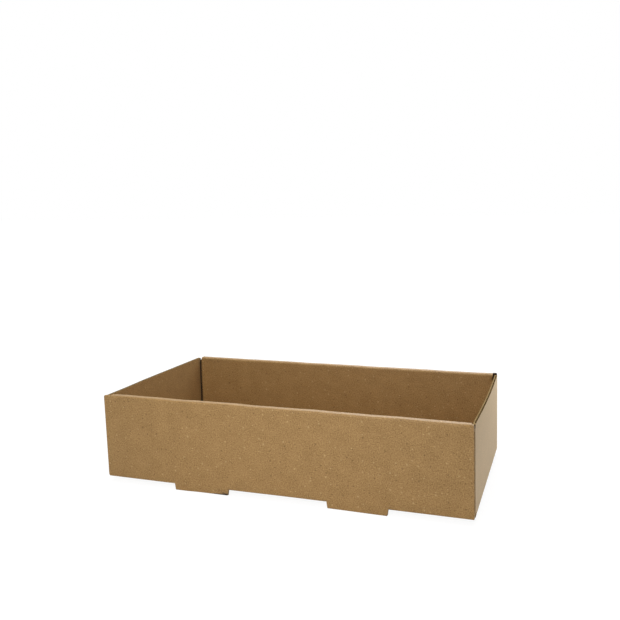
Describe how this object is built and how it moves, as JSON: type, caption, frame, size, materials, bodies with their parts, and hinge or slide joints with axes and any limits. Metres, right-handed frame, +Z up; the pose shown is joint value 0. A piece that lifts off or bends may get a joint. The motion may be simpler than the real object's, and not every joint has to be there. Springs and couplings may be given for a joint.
{
  "type": "cardboard tray box",
  "caption": "Open rectangular tray folded from one sheet of brown corrugated board, with rolled long walls, raw-edged end walls and low feet cut out of its base.",
  "frame": {"origin": "on the ground under the middle of the tray, at the level of the feet's bottom edges", "axes": "+X along the long walls, +Y from the front long wall to the rear one, +Z up out of the open top"},
  "size_m": [0.366, 0.207, 0.0895],
  "materials": {
    "kraft_board": "matt brown kraft liner"
  },
  "bodies": {
    "root": {"folded_tray": "kraft_board"}
  },
  "joints": []
}
